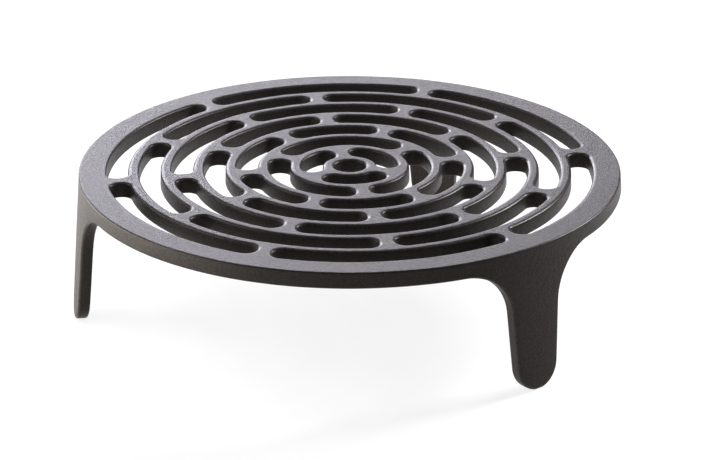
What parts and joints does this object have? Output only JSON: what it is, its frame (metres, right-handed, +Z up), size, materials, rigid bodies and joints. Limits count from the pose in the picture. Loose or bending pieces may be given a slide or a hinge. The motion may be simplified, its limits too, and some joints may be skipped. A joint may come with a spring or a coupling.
{
  "type": "hearth broiler",
  "caption": "Round cast-iron broiler for an open hearth: a flat grate of concentric slotted rings on splayed legs, which holds food or a pan above the embers.",
  "frame": {"origin": "centre of the cooking face, on the axis of the rings", "axes": "+Z up, square to the cooking face; +Y towards the rear leg; the floor is at -93 mm"},
  "size_m": [0.3515, 0.3576, 0.093],
  "materials": {
    "cast_iron": "matte sand-cast iron, fine grain, seasoned dark"
  },
  "bodies": {
    "root": {"outer_rim": "cast_iron", "hub_ring": "cast_iron", "bar_ring_1": "cast_iron", "bar_ring_2": "cast_iron", "bar_ring_3": "cast_iron", "bar_ring_4": "cast_iron", "bar_ring_5": "cast_iron", "bar_ring_6": "cast_iron", "bridge_1_1": "cast_iron", "bridge_1_2": "cast_iron", "bridge_1_3": "cast_iron", "bridge_2_1": "cast_iron", "bridge_2_2": "cast_iron", "bridge_2_3": "cast_iron", "bridge_3_1": "cast_iron", "bridge_3_2": "cast_iron", "bridge_3_3": "cast_iron", "bridge_3_4": "cast_iron", "bridge_3_5": "cast_iron", "bridge_3_6": "cast_iron", "bridge_4_1": "cast_iron", "bridge_4_2": "cast_iron", "bridge_4_3": "cast_iron", "bridge_4_4": "cast_iron", "bridge_4_5": "cast_iron", "bridge_4_6": "cast_iron", "bridge_5_1": "cast_iron", "bridge_5_2": "cast_iron", "bridge_5_3": "cast_iron", "bridge_5_4": "cast_iron", "bridge_5_5": "cast_iron", "bridge_5_6": "cast_iron", "bridge_6_1": "cast_iron", "bridge_6_2": "cast_iron", "bridge_6_3": "cast_iron", "bridge_6_4": "cast_iron", "bridge_6_5": "cast_iron", "bridge_6_6": "cast_iron", "bridge_7_1": "cast_iron", "bridge_7_2": "cast_iron", "bridge_7_3": "cast_iron", "bridge_7_4": "cast_iron", "bridge_7_5": "cast_iron", "bridge_7_6": "cast_iron", "leg_rear": "cast_iron", "leg_left": "cast_iron", "leg_right": "cast_iron"}
  },
  "joints": []
}
